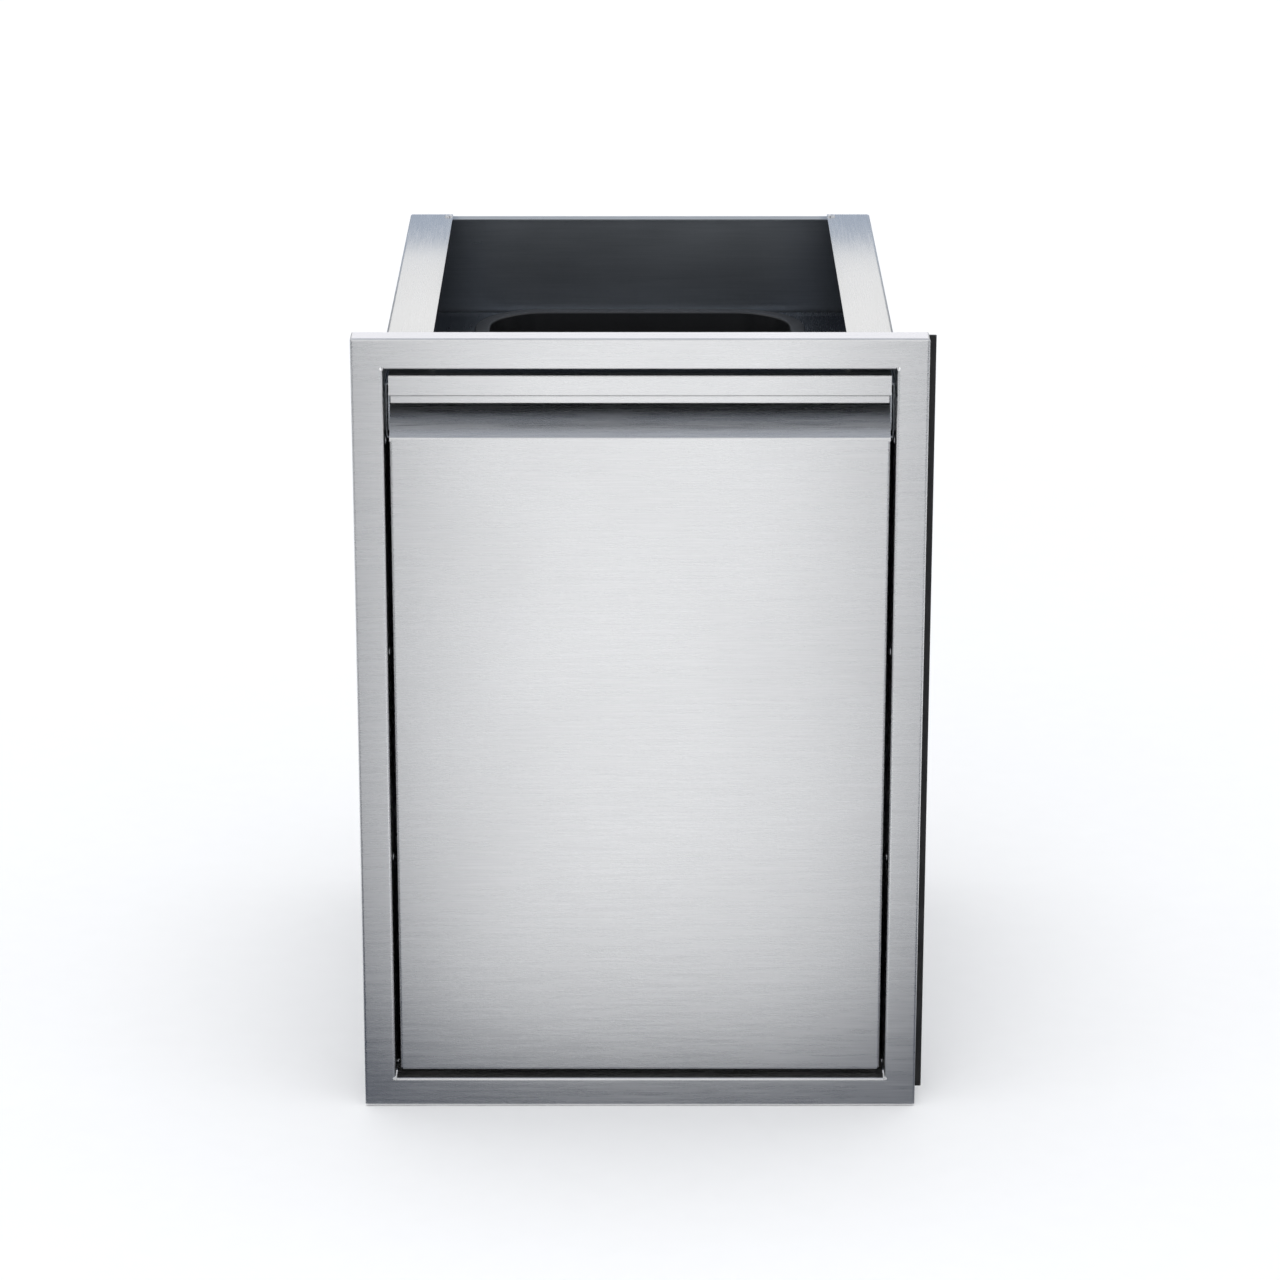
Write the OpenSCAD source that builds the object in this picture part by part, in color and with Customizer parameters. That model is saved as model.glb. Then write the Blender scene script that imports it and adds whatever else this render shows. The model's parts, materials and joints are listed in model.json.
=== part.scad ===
// Built-in pull-out waste bin drawer: a flanged steel frame, an open-topped housing,
// a drawer front with a full-width finger grip, full-extension ball slides, and a lift-out bin.
// Millimetres. X = 0 is the mid plane, Y = 0 the back of the front flange (fronts face -Y),
// Z = 0 the underside of the housing.

/* [Front frame] */
// Overall width of the front flange
frame_w = 457.2; // [440:1:480]
// Overall height of the front flange
frame_h = 660; // [620:1:700]
// Width of the flange border round the opening
border = 25.4; // [22:0.5:30]
// How far the flange stands in front of the cabinet face
flange_depth = 22; // [18:1:26]
// Width of the lip folded in behind the flange
rear_lip = 10; // [8:1:12]
// How far the folded edge of the opening reaches back into the housing
return_depth = 16; // [14:1:18]

/* [Housing] */
// Depth of the housing behind the cabinet face
housing_depth = 498; // [496:1:520]
// Width of the flange along the top of each side wall
top_flange = 38.1; // [30:0.5:40]
// Sheet thickness of the frame, housing and drawer front
sheet_t = 1.2; // [1:0.1:1.4]
// Inside radius of the folded edges
bend_r = 0.8; // [0.5:0.1:1]

/* [Drawer] */
// Gap between the drawer front and each side of the opening
side_gap = 4.3; // [4:0.1:5]
// How far the drawer front sits behind the flange face
front_setback = 3.2; // [2:0.2:4]
// Height of the lip that the fingers pull on
lip_h = 17.4; // [15:0.2:20]
// Height of the finger opening under the lip
grip_opening = 34.7; // [32:0.1:36]
// How far the drawer pulls out
travel = 495; // [480:1:495]

/* [Bin] */
// Outside width across the rim of the bin
bin_w = 291; // [280:1:294]
// Outside length of the rim of the bin
bin_l = 390; // [370:1:392]
// Height of the bin
bin_h = 500; // [440:1:505]

/* [Slides] */
// Length of each slide
slide_l = 457; // [440:1:457]
// Height of the middle of the slides above the housing underside
slide_z = 565; // [562:1:566]

/* [Hidden] */
$fn = 48;

// colours
steel = [0.80, 0.81, 0.83];
steel_inside = [0.62, 0.63, 0.66];
plated = [0.70, 0.72, 0.75];
fastener = [0.86, 0.87, 0.89];
rubber = [0.07, 0.07, 0.08];
bin_black = [0.10, 0.10, 0.11];

// general
eps = 0.5;             // how far a cutting tool passes a face
bend_steps = 4;        // flat strips in a quarter of a fold
hole_gap = 0.05;       // radial room round a screw or rivet

// frame and opening
half_w = frame_w / 2;
open_half = half_w - border;
wall_in = open_half + sheet_t;
wall_out = wall_in + sheet_t;
pan_top = sheet_t;
open_bottom = pan_top + sheet_t;
frame_z0 = open_bottom - border;
frame_z1 = frame_z0 + frame_h;
open_top = frame_z1 - border;
housing_h = open_top + 2 * sheet_t;
corner_r = 2;          // outer corners of the flange
notch_r = 1.7;         // relief at the corners of the opening
mitre = 1.2 * border;

// housing
back_in = housing_depth - sheet_t;
rail_in = wall_out - top_flange;
rail_under = housing_h - sheet_t;
foot_flange = 20;      // flange of a side wall on the pan
foot_room = 1;         // space between that flange and the folded edges at its ends
foot_cut_h = 4;        // height of the cut-outs that leave that space
back_top_flange = 14.4;
back_side_flange = 12;
back_foot_flange = 17;
fold_room = 2;         // space left beside a fold

// fasteners
screw_r = 2;
screw_head_r = 4;
screw_head_h = 1.2;
frame_screw_y = 6;
frame_screw_rows = [for (drop = [65, 243.7, 422.4]) open_top - drop];
nut_r = 4;
nut_h = 3.2;
screw_tail = 3.4;
rivet_r = 1.6;
rivet_head_r = 3;
rivet_head_h = 1;
top_rivet_head_r = 3.5;
top_rivet_head_h = 1.8;
top_rivet_x = rail_in + 3.9;
top_rivet_y = housing_depth - 8;
pan_rivet_x = wall_in - 9;
pan_rivet_rows = [60, 190, 320, 450];
back_rivet_y = back_in - 6.3;
back_rivet_rows = [80, 240, 400, 530];

// screw holes in the side walls, for fixing the housing into a cabinet
fixing_r = 2.5;
fixing_y = [120, 420];
fixing_z = [100, 440];

// edge seal and bumpers
seal_w = 6.1;
seal_t = 3;
seal_y = -1;
seal_z0 = frame_z0 + 10.5;
seal_z1 = frame_z1 - 2.2;
bumper_r = 8;
bumper_x = 150;
bumper_z = 512;
bumper_gap = 0.3;
stem_r = 2.5;

// slides, measured in from the wall (u) and up or down from their middle (v)
slide_t = 1.4;
outer_y = 26;
middle_y = 24;
inner_y = 20;
outer_v = 22.8;
outer_u = 8.6;
middle_u0 = 2.6;
middle_u1 = 10.4;
middle_v = 16.6;
inner_u0 = 5.4;
inner_u1 = 12.6;
inner_v = 10.4;
ball_r = 2.3;
ball_pitch = 20;
cage_t = 0.6;
cage_bend = 0.3;
cage_l = 180;
cage_end_room = 6.25;   // between a cage and the end of its run
cage_y = outer_y + travel / 4 + cage_end_room;
outer_cage = [1.7, 8, 19, 5];      // web u, flange end u, ball v, ball u
inner_cage = [4.4, 10.5, 12.8, 7.5];
slide_rivet_head_r = 3.6;
slide_rivet_head_h = 0.95;
slide_rivet_sink = 1;  // depth of the seat that the head lies in
slide_rivet_rows = [60, 250, 450];

// drawer front
front_half = open_half - side_gap;
face_y = front_setback - flange_depth;
front_top = open_top - 5;
front_bottom = open_bottom + 6.3;
lip_z = front_top - lip_h;
slope_z = lip_z - grip_opening;
front_back = return_depth + 3.4;   // rear face of the drawer front
liner_front = front_back - sheet_t;
cavity_y = liner_front - sheet_t;
slope_top = slope_z + cavity_y - face_y;
strip_t = 2.4;
strip_drop = 6.8;
strip_in = 1.5;
strip_leg = 15;
nose_steps = 8;         // flat strips round the lower edges of lip and strip
face_top_relief = 2.5;
liner_in = front_half - sheet_t;
liner_flange_y = -2;
liner_bottom = front_bottom + 2;
liner_top = front_top - 2.6;
liner_rivet_y = 6;
liner_rivet_rows = [60, 300, 530];

// bin tray
tray_t = 1.5;
tray_bend = 1;
tray_fold_room = 4;    // space left beside a fold of the tray
tray_half = wall_in - inner_u1;
tray_z = slide_z - 39;
tray_back = back_in - 6.8;
tray_side_top = slide_z + 21;
tray_front_drop = 40;
tray_back_drop = 26;
gusset_l = 90;
gusset_leg = 30;
gusset_z0 = tray_z + 1.5;
gusset_toe = 8;        // height of a gusset at its thin end
tray_screw_y = [45, 200, 330, 460];
tray_screw_r = 3.5;
tray_screw_h = 1.8;
front_screw_tail = 2.2;
gusset_screw_x = tray_half - 19;
gusset_screw_z = [slide_z - 20, slide_z + 8];
flange_screw_x = [-120, 0, 120];
flange_screw_z = tray_z - 21;

// bin
bin_wall = 2.2;
rim_lap = 11;          // overhang of the rim past the bin's side
rim_r = 62;
rim_h = 8;
rest_gap = 0.2;
cut_gap = 4;
bin_taper = 18;        // each side leans in by this much from rim to base
base_sharper = 6;      // the corners' radius is this much smaller at the base
bin_edge = 1;          // upright edge at the top and at the base
bin_y = 276;
bin_top = tray_z + rest_gap + rim_h;
bin_bottom = bin_top - bin_h;
bin_facets = 32;

// ---- outlines ----

function unit(v) = v / norm(v);
function left_of(d) = [-d[1], d[0]];
function turned(d, a) = [d[0] * cos(a) - d[1] * sin(a), d[0] * sin(a) + d[1] * cos(a)];
function turn_angle(a, b) = atan2(a[0] * b[1] - a[1] * b[0], a * b);

// points of one face of a folded sheet at its i-th corner; the other face lies t to the right
function fold(path, i, t, r, shift) =
    let (
        d = unit(path[i] - path[i - 1]),
        a = turn_angle(d, unit(path[i + 1] - path[i])),
        s = sign(a),
        rho = s > 0 ? r : r + t,
        steps = ceil(bend_steps * abs(a) / 90),
        centre = path[i] - d * rho * tan(abs(a) / 2) + s * left_of(d) * rho
    )
    [for (k = [0:steps]) centre - s * left_of(turned(d, a * k / steps)) * (rho + s * shift)];

function face_points(path, t, r, shift) =
    let (
        n = len(path) - 1,
        first = unit(path[1] - path[0]),
        last = unit(path[n] - path[n - 1])
    )
    concat(
        [path[0] - left_of(first) * shift],
        [for (i = [1:1:n - 1]) for (p = fold(path, i, t, r, shift)) p],
        [path[n] - left_of(last) * shift]
    );

function reversed(list) = [for (i = [len(list) - 1:-1:0]) list[i]];

// section of a sheet of thickness t, folded along path, lying to the right of it
module folded(path, t = sheet_t, r = bend_r) {
    polygon(concat(face_points(path, t, r, 0), reversed(face_points(path, t, r, t))));
}

// the same section, with its last edge rounded over the sheet's thickness past the end of path
module folded_round_ended(path, t = sheet_t, r = bend_r) {
    n = len(path) - 1;
    along = unit(path[n] - path[n - 1]);
    across = left_of(along);
    middle = path[n] - across * t / 2;
    nose = [
        for (i = [1:nose_steps - 1])
            let (a = 180 * i / nose_steps) middle + (across * cos(a) + along * sin(a)) * t / 2
    ];
    polygon(concat(face_points(path, t, r, 0), nose, reversed(face_points(path, t, r, t))));
}

module rounded_rect(w, l, r) {
    square([w - 2 * r, l], center = true);
    square([w, l - 2 * r], center = true);
    for (x = [-1, 1], y = [-1, 1])
        translate([x * (w / 2 - r), y * (l / 2 - r)]) circle(r);
}

// ---- placing ----

// extrudes a (Y, Z) section along X, centred
module along_x(length) {
    rotate([90, 0, 90]) linear_extrude(length, center = true) children();
}

// extrudes an (X, Z) section along Y, from y0 to y1
module along_y(y0, y1) {
    translate([0, y1, 0]) rotate([90, 0, 0]) linear_extrude(y1 - y0) children();
}

// extrudes an (X, Y) section along Z, from z0 to z1
module along_z(z0, z1) {
    translate([0, 0, z0]) linear_extrude(z1 - z0) children();
}

module both_sides() {
    children();
    mirror([1, 0, 0]) children();
}

// a round bar along X from x0 to x1
module bar_x(x0, x1, r) {
    translate([x0, 0, 0]) rotate([0, 90, 0]) cylinder(h = x1 - x0, r = r);
}

// a round bar along Y from y0 to y1
module bar_y(y0, y1, r) {
    translate([0, y1, 0]) rotate([90, 0, 0]) cylinder(h = y1 - y0, r = r);
}

// a round bar along Z from z0 to z1
module bar_z(z0, z1, r) {
    translate([0, 0, z0]) cylinder(h = z1 - z0, r = r);
}

// ---- housing ----

frame_section = [
    [0, rear_lip], [0, 0], [-flange_depth, 0], [-flange_depth, border], [return_depth, border]
];

module frame_side(length) {
    intersection() {
        along_x(length) folded(frame_section);
        along_y(-2 * flange_depth, 2 * flange_depth)
            polygon([
                [-length / 2, 0], [length / 2, 0],
                [length / 2 - mitre, mitre], [mitre - length / 2, mitre]
            ]);
    }
}

module at_frame_screws() {
    for (z = frame_screw_rows) translate([0, frame_screw_y, z]) children();
}

module front_frame() {
    mid_z = (frame_z0 + frame_z1) / 2;
    color(steel) difference() {
        intersection() {
            union() {
                translate([0, 0, frame_z0]) frame_side(frame_w);
                translate([0, 0, frame_z1]) mirror([0, 0, 1]) frame_side(frame_w);
                both_sides() translate([half_w, 0, mid_z]) rotate([0, -90, 0]) frame_side(frame_h);
            }
            along_y(-2 * flange_depth, 2 * flange_depth)
                translate([0, mid_z]) rounded_rect(frame_w, frame_h, corner_r);
        }
        both_sides() {
            for (z = [open_bottom - sheet_t / 2, open_top + sheet_t / 2])
                translate([open_half + sheet_t / 2, 0, z])
                    bar_y(-flange_depth - eps, return_depth + eps, notch_r);
            at_frame_screws() bar_x(open_half - eps, wall_in + eps, screw_r + hole_gap);
        }
    }
}

module side_wall() {
    section = [
        [rail_in, housing_h], [wall_out, housing_h],
        [wall_out, pan_top], [wall_in - foot_flange, pan_top]
    ];
    color(steel_inside) difference() {
        along_y(0, housing_depth) folded(section);
        // room for the folded edge of the opening and for the back wall
        translate([0, -eps, 0]) cube([wall_in, return_depth + eps + foot_room, foot_cut_h]);
        translate([0, back_in - back_foot_flange - foot_room, 0])
            cube([wall_in, housing_depth, foot_cut_h]);
        at_frame_screws() bar_x(wall_in - eps, wall_out + eps, screw_r + hole_gap);
        for (y = fixing_y, z = fixing_z)
            translate([0, y, z]) bar_x(wall_in - eps, wall_out + eps, fixing_r);
        for (y = slide_rivet_rows)
            translate([0, y, slide_z]) bar_x(wall_in - eps, wall_out + eps, screw_r + hole_gap);
        for (z = back_rivet_rows)
            translate([0, back_rivet_y, z]) bar_x(wall_in - eps, wall_out + eps, rivet_r + hole_gap);
        for (y = pan_rivet_rows)
            translate([pan_rivet_x, y, 0]) bar_z(0, 2 * eps + open_bottom, rivet_r + hole_gap);
        translate([top_rivet_x, top_rivet_y, 0])
            bar_z(rail_under - eps, housing_h + eps, rivet_r + hole_gap);
    }
}

module left_wall() {
    mirror([1, 0, 0]) side_wall();
}

module right_wall() {
    side_wall();
}

module back_wall() {
    flange_y = back_in - back_side_flange;
    upright = [
        [housing_depth - back_top_flange, rail_under], [housing_depth, rail_under],
        [housing_depth, pan_top], [housing_depth - back_foot_flange, pan_top]
    ];
    plan = [
        [-wall_in, flange_y], [-wall_in, housing_depth], [wall_in, housing_depth], [wall_in, flange_y]
    ];
    color(steel_inside) difference() {
        union() {
            along_x(2 * (wall_in - fold_room)) folded(upright);
            along_z(pan_top + fold_room, rail_under - fold_room) folded(plan);
        }
        both_sides() {
            for (z = back_rivet_rows)
                translate([0, back_rivet_y, z])
                    bar_x(open_half - eps, wall_in + eps, rivet_r + hole_gap);
            translate([top_rivet_x, top_rivet_y, 0])
                bar_z(open_top - eps, rail_under + eps, rivet_r + hole_gap);
            translate([bumper_x, 0, bumper_z]) bar_y(back_in - eps, housing_depth + eps, stem_r + hole_gap);
        }
    }
}

module bottom_pan() {
    color(steel_inside) difference() {
        translate([-wall_out, 0, 0]) cube([2 * wall_out, housing_depth, pan_top]);
        both_sides()
            for (y = pan_rivet_rows)
                translate([pan_rivet_x, y, 0]) bar_z(-eps, pan_top + eps, rivet_r + hole_gap);
    }
}

module frame_screws() {
    color(fastener) both_sides() at_frame_screws() {
        bar_x(open_half - screw_head_h, open_half, screw_head_r);
        bar_x(open_half, wall_out + screw_tail, screw_r);
    }
}

module frame_nuts() {
    color(fastener) both_sides() at_frame_screws()
        translate([wall_out, 0, 0]) rotate([0, 90, 0]) difference() {
            cylinder(h = nut_h, r = nut_r, $fn = 6);
            translate([0, 0, -eps]) cylinder(h = nut_h + 2 * eps, r = screw_r + hole_gap);
        }
}

module top_rivets() {
    color(fastener) both_sides() translate([top_rivet_x, top_rivet_y, 0]) {
        bar_z(housing_h, housing_h + top_rivet_head_h, top_rivet_head_r);
        bar_z(open_top - rivet_head_h, housing_h, rivet_r);
        bar_z(open_top - rivet_head_h, open_top, rivet_head_r);
    }
}

module pan_rivets() {
    color(fastener) both_sides() for (y = pan_rivet_rows) translate([pan_rivet_x, y, 0]) {
        bar_z(0, open_bottom, rivet_r);
        bar_z(open_bottom, open_bottom + rivet_head_h, rivet_head_r);
    }
}

module back_rivets() {
    color(fastener) both_sides() for (z = back_rivet_rows) translate([0, back_rivet_y, z]) {
        bar_x(open_half - rivet_head_h, open_half, rivet_head_r);
        bar_x(open_half, wall_out, rivet_r);
        bar_x(wall_out, wall_out + rivet_head_h, rivet_head_r);
    }
}

module edge_seal() {
    color(rubber) translate([half_w, 0, 0]) along_z(seal_z0, seal_z1) {
        nose = seal_t / 2;
        translate([0, seal_y - seal_t]) square([seal_w - nose, seal_t]);
        translate([seal_w - nose, seal_y - nose]) circle(nose);
    }
}

module rear_bumpers() {
    color(rubber) both_sides() translate([bumper_x, 0, bumper_z]) {
        bar_y(tray_back + bumper_gap, back_in, bumper_r);
        bar_y(back_in, housing_depth, stem_r);
    }
}

// ---- slides ----

// places a (u, v) section at the right-hand wall and extrudes it along Y
module at_slide(y0, y1) {
    translate([wall_in, 0, slide_z]) mirror([1, 0, 0]) along_y(y0, y1) children();
}

module slide_outer() {
    section = [[outer_u, -outer_v], [0, -outer_v], [0, outer_v], [outer_u, outer_v]];
    color(plated) difference() {
        at_slide(outer_y, outer_y + slide_l) folded(section, slide_t);
        for (y = slide_rivet_rows) translate([0, y, slide_z]) {
            bar_x(wall_in - slide_t - eps, wall_in + eps, screw_r + hole_gap);
            bar_x(wall_in - slide_t - eps, wall_in - slide_t + slide_rivet_sink,
                slide_rivet_head_r + hole_gap);
        }
    }
}

module slide_middle() {
    section = [
        [middle_u1, -middle_v], [middle_u0, -middle_v], [middle_u0, middle_v], [middle_u1, middle_v]
    ];
    color(plated) at_slide(middle_y, middle_y + slide_l) folded(section, slide_t);
}

module slide_inner() {
    section = [[inner_u0, inner_v], [inner_u1, inner_v], [inner_u1, -inner_v], [inner_u0, -inner_v]];
    color(plated) difference() {
        at_slide(inner_y, inner_y + slide_l) folded(section, slide_t);
        for (y = tray_screw_y)
            translate([0, y, slide_z])
                bar_x(tray_half - eps, tray_half + slide_t + eps, screw_r + hole_gap);
    }
}

// a ball cage: a thin channel with balls in its two flanges
module ball_cage(size) {
    half_v = size[2] + cage_t / 2;
    section = [[size[1], -half_v], [size[0], -half_v], [size[0], half_v], [size[1], half_v]];
    spots = [
        for (y = [cage_y + ball_pitch / 2:ball_pitch:cage_y + cage_l - ball_r], v = [-size[2], size[2]])
            [wall_in - size[3], y, slide_z + v]
    ];
    difference() {
        color(plated) at_slide(cage_y, cage_y + cage_l) folded(section, cage_t, cage_bend);
        for (p = spots) translate(p) bar_z(-2 * cage_t, 2 * cage_t, ball_r + 2 * hole_gap);
    }
    for (p = spots) color(fastener) translate(p) sphere(ball_r);
}

module right_slide_outer() {
    slide_outer();
}

module left_slide_outer() {
    mirror([1, 0, 0]) slide_outer();
}

module right_slide_middle() {
    slide_middle();
}

module left_slide_middle() {
    mirror([1, 0, 0]) slide_middle();
}

module right_slide_inner() {
    slide_inner();
}

module left_slide_inner() {
    mirror([1, 0, 0]) slide_inner();
}

module right_outer_cage() {
    ball_cage(outer_cage);
}

module left_outer_cage() {
    mirror([1, 0, 0]) ball_cage(outer_cage);
}

module right_inner_cage() {
    ball_cage(inner_cage);
}

module left_inner_cage() {
    mirror([1, 0, 0]) ball_cage(inner_cage);
}

module slide_rivets() {
    head_x = wall_in - slide_t + slide_rivet_sink;
    color(fastener) both_sides() for (y = slide_rivet_rows) translate([0, y, slide_z]) {
        bar_x(head_x - slide_rivet_head_h, head_x, slide_rivet_head_r);
        bar_x(head_x, wall_out, screw_r);
        bar_x(wall_out, wall_out + rivet_head_h, rivet_head_r);
    }
}

// ---- drawer front ----

module at_liner_rivets() {
    for (z = liner_rivet_rows) translate([0, liner_rivet_y, z]) children();
}

// one sheet: face, slope of the finger recess, its back, its top and the lip
module front_panel() {
    plan = [
        [front_half, front_back], [front_half, face_y], [-front_half, face_y], [-front_half, front_back]
    ];
    recess = [
        [face_y, slope_z - face_top_relief], [face_y, slope_z], [cavity_y, slope_top],
        [cavity_y, front_top - sheet_t], [face_y + sheet_t, front_top - sheet_t],
        [face_y + sheet_t, lip_z + sheet_t / 2]
    ];
    foot = [[front_back, front_bottom], [face_y, front_bottom], [face_y, front_bottom + fold_room + eps]];
    color(steel) difference() {
        union() {
            along_z(front_bottom + fold_room, slope_z - face_top_relief) folded(plan);
            along_x(2 * front_half) folded_round_ended(recess);
            along_x(2 * (front_half - fold_room)) folded(foot);
        }
        both_sides() at_liner_rivets() bar_x(liner_in - eps, front_half + eps, rivet_r + hole_gap);
    }
}

// doubled edge welded behind the lip and under the top, reaching a little below the lip
module grip_strip() {
    back = face_y + sheet_t;
    nose_r = strip_t / 2;
    nose_z = lip_z - strip_drop + nose_r;
    top = front_top - sheet_t;
    nose = [
        for (i = [0:nose_steps])
            let (a = 180 * i / nose_steps) [back + nose_r + nose_r * cos(a), nose_z - nose_r * sin(a)]
    ];
    legs = [
        [back, top - bend_r], [back + bend_r, top], [back + strip_leg, top],
        [back + strip_leg, top - sheet_t], [back + strip_t, top - sheet_t]
    ];
    color(steel) along_x(2 * (front_half - strip_in)) polygon(concat(nose, legs));
}

module at_front_screws() {
    for (x = [-gusset_screw_x, gusset_screw_x], z = gusset_screw_z)
        translate([x, sheet_t, z]) children();
    for (x = flange_screw_x) translate([x, tray_t, flange_screw_z]) children();
}

module front_liner() {
    plan = [
        [-liner_in, liner_flange_y], [-liner_in, front_back],
        [liner_in, front_back], [liner_in, liner_flange_y]
    ];
    color(steel_inside) difference() {
        union() {
            along_z(liner_bottom, slope_z - face_top_relief) folded(plan);
            along_z(liner_bottom, liner_top)
                translate([-liner_in + fold_room, liner_front])
                    square([2 * (liner_in - fold_room), sheet_t]);
        }
        both_sides() at_liner_rivets()
            bar_x(liner_in - sheet_t - eps, liner_in + eps, rivet_r + hole_gap);
        at_front_screws() bar_y(liner_front - eps - tray_t, front_back + eps, screw_r + hole_gap);
    }
}

module liner_rivets() {
    inner = liner_in - sheet_t;
    color(fastener) both_sides() at_liner_rivets() {
        bar_x(inner - rivet_head_h, inner, rivet_head_r);
        bar_x(inner, front_half, rivet_r);
        bar_x(front_half, front_half + rivet_head_h, rivet_head_r);
    }
}

// ---- bin tray ----

module bin_tray() {
    tray_under = tray_z - tray_t;
    sides = [
        [tray_half, tray_side_top], [tray_half, tray_under],
        [-tray_half, tray_under], [-tray_half, tray_side_top]
    ];
    ends = [
        [front_back, tray_z - tray_front_drop], [front_back, tray_z],
        [tray_back, tray_z], [tray_back, tray_z - tray_back_drop]
    ];
    color(steel_inside) difference() {
        union() {
            along_y(front_back + tray_fold_room, tray_back - tray_fold_room)
                folded(sides, tray_t, tray_bend);
            along_x(2 * (tray_half - tray_fold_room)) folded(ends, tray_t, tray_bend);
        }
        along_z(tray_under - eps, tray_z + eps) translate([0, bin_y])
            rounded_rect(bin_w - 2 * rim_lap + 2 * cut_gap, bin_l - 2 * rim_lap + 2 * cut_gap,
                rim_r - rim_lap + cut_gap);
        both_sides()
            for (y = tray_screw_y)
                translate([0, y, slide_z])
                    bar_x(tray_half - tray_t - eps, tray_half + eps, screw_r + hole_gap);
        for (x = flange_screw_x)
            translate([x, 0, flange_screw_z])
                bar_y(front_back - eps, front_back + tray_t + eps, screw_r + hole_gap);
    }
}

module gusset() {
    outer = tray_half - tray_t;
    plan = [[outer, front_back + gusset_l], [outer, front_back], [outer - gusset_leg, front_back]];
    color(steel_inside) difference() {
        intersection() {
            along_z(gusset_z0, tray_side_top) folded(plan);
            along_x(2 * wall_out) polygon([
                [front_back, gusset_z0], [front_back + gusset_l, gusset_z0],
                [front_back + gusset_l, gusset_z0 + gusset_toe], [front_back + gusset_leg, tray_side_top],
                [front_back, tray_side_top]
            ]);
        }
        translate([0, tray_screw_y[0], slide_z])
            bar_x(outer - sheet_t - eps, outer + eps, screw_r + hole_gap);
        for (z = gusset_screw_z)
            translate([gusset_screw_x, 0, z])
                bar_y(front_back - eps, front_back + sheet_t + eps, screw_r + hole_gap);
    }
}

module right_gusset() {
    gusset();
}

module left_gusset() {
    mirror([1, 0, 0]) gusset();
}

// screws through the tray's upturned sides into the inner slide members
module tray_screws() {
    color(fastener) both_sides() for (y = tray_screw_y) translate([0, y, slide_z]) {
        seat = tray_half - tray_t - (y == tray_screw_y[0] ? sheet_t : 0);
        bar_x(seat - tray_screw_h, seat, tray_screw_r);
        bar_x(seat, tray_half + slide_t, screw_r);
    }
}

// screws that hold the gussets and the tray's front flange to the drawer front
module front_screws() {
    color(fastener) at_front_screws() {
        bar_y(front_back, front_back + tray_screw_h, tray_screw_r);
        bar_y(liner_front - front_screw_tail - tray_t, front_back, screw_r);
    }
}

// ---- bin ----

// a tapered solid with rounded corners; inset moves its sides inwards
module bin_body(inset, z0, z1) {
    top_in = rim_lap + inset;
    base_in = top_in + bin_taper;
    $fn = bin_facets;
    hull() {
        translate([0, bin_y, z1 - bin_edge]) linear_extrude(bin_edge)
            rounded_rect(bin_w - 2 * top_in, bin_l - 2 * top_in, rim_r - top_in);
        translate([0, bin_y, z0]) linear_extrude(bin_edge)
            rounded_rect(bin_w - 2 * base_in, bin_l - 2 * base_in, rim_r - top_in - base_sharper);
    }
}

module bin() {
    color(bin_black) difference() {
        union() {
            bin_body(0, bin_bottom, bin_top);
            along_z(bin_top - bin_wall, bin_top) translate([0, bin_y]) rounded_rect(bin_w, bin_l, rim_r);
            along_z(bin_top - rim_h, bin_top) translate([0, bin_y]) difference() {
                rounded_rect(bin_w, bin_l, rim_r);
                rounded_rect(bin_w - 2 * bin_wall, bin_l - 2 * bin_wall, rim_r - bin_wall);
            }
        }
        bin_body(bin_wall, bin_bottom + bin_wall, bin_top + bin_edge + eps);
    }
}

front_frame();
left_wall();
right_wall();
back_wall();
bottom_pan();
frame_screws();
frame_nuts();
top_rivets();
pan_rivets();
back_rivets();
edge_seal();
rear_bumpers();
left_slide_outer();
right_slide_outer();
slide_rivets();
left_slide_middle();
right_slide_middle();
left_outer_cage();
right_outer_cage();
left_inner_cage();
right_inner_cage();
left_slide_inner();
right_slide_inner();
front_panel();
grip_strip();
front_liner();
liner_rivets();
bin_tray();
left_gusset();
right_gusset();
tray_screws();
front_screws();
bin();
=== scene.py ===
import json
import math

import bmesh
import bpy
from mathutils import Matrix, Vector


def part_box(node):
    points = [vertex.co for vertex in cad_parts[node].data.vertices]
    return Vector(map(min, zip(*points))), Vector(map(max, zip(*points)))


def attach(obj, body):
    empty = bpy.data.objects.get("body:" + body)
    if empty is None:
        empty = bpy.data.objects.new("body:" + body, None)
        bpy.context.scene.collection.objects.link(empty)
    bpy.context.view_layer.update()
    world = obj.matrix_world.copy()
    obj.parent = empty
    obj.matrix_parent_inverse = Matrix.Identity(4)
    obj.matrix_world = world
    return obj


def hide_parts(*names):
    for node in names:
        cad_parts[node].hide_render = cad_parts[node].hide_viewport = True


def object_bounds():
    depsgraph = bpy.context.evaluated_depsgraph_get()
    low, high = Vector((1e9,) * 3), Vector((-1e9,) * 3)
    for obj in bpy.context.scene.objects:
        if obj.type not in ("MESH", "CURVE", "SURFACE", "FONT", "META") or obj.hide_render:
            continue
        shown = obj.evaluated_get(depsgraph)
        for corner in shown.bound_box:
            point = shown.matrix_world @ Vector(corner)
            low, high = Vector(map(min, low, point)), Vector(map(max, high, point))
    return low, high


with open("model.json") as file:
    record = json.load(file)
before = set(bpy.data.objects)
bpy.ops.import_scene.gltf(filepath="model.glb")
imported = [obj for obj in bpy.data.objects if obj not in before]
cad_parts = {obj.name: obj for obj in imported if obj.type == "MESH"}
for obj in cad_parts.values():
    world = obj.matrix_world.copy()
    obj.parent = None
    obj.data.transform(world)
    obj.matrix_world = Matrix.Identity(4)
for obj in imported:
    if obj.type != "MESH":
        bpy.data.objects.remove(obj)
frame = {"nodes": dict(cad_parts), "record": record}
CAD_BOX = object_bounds()

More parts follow.
